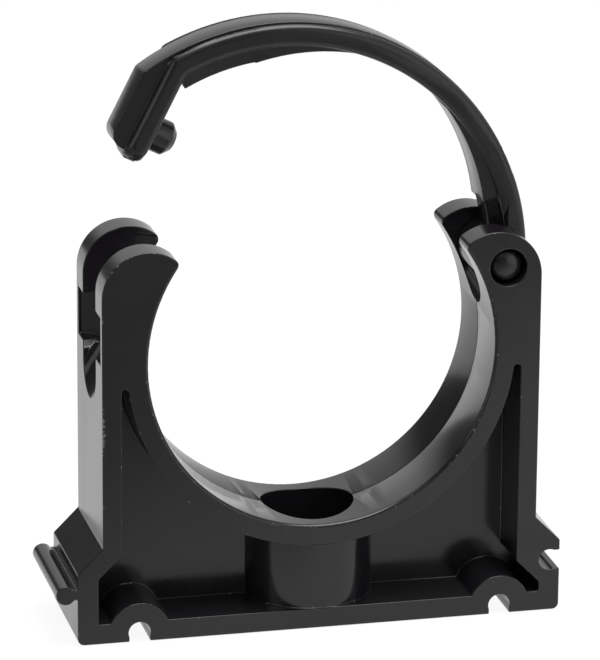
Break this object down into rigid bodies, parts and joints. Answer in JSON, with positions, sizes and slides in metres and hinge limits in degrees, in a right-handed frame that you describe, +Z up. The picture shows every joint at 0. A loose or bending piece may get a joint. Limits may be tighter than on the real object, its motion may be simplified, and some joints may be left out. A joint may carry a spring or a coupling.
{
  "type": "pipe clip",
  "caption": "Saddle block for one pipe with a hinged closing strap, a bolt seat under the pipe, and a side rail and socket for joining clips in a row.",
  "frame": {"origin": "centre of the pipe seat, on the pipe's axis at mid depth", "axes": "+X towards the hinge, +Y along the pipe to the rear, +Z up away from the base"},
  "size_m": [0.0926, 0.0234, 0.1097],
  "materials": {
    "body_plastic": "satin moulded black plastic",
    "strap_plastic": "satin moulded black plastic"
  },
  "bodies": {
    "body": {"clip_body": "body_plastic"},
    "strap": {"retaining_strap": "strap_plastic"}
  },
  "joints": [
    {"name": "strap_hinge", "type": "hinge", "parent": "body", "child": "strap", "pos_m": [0.03365, 0, 0.0142], "axis": [0, 1, 0], "range_deg": [-27, 150]}
  ]
}
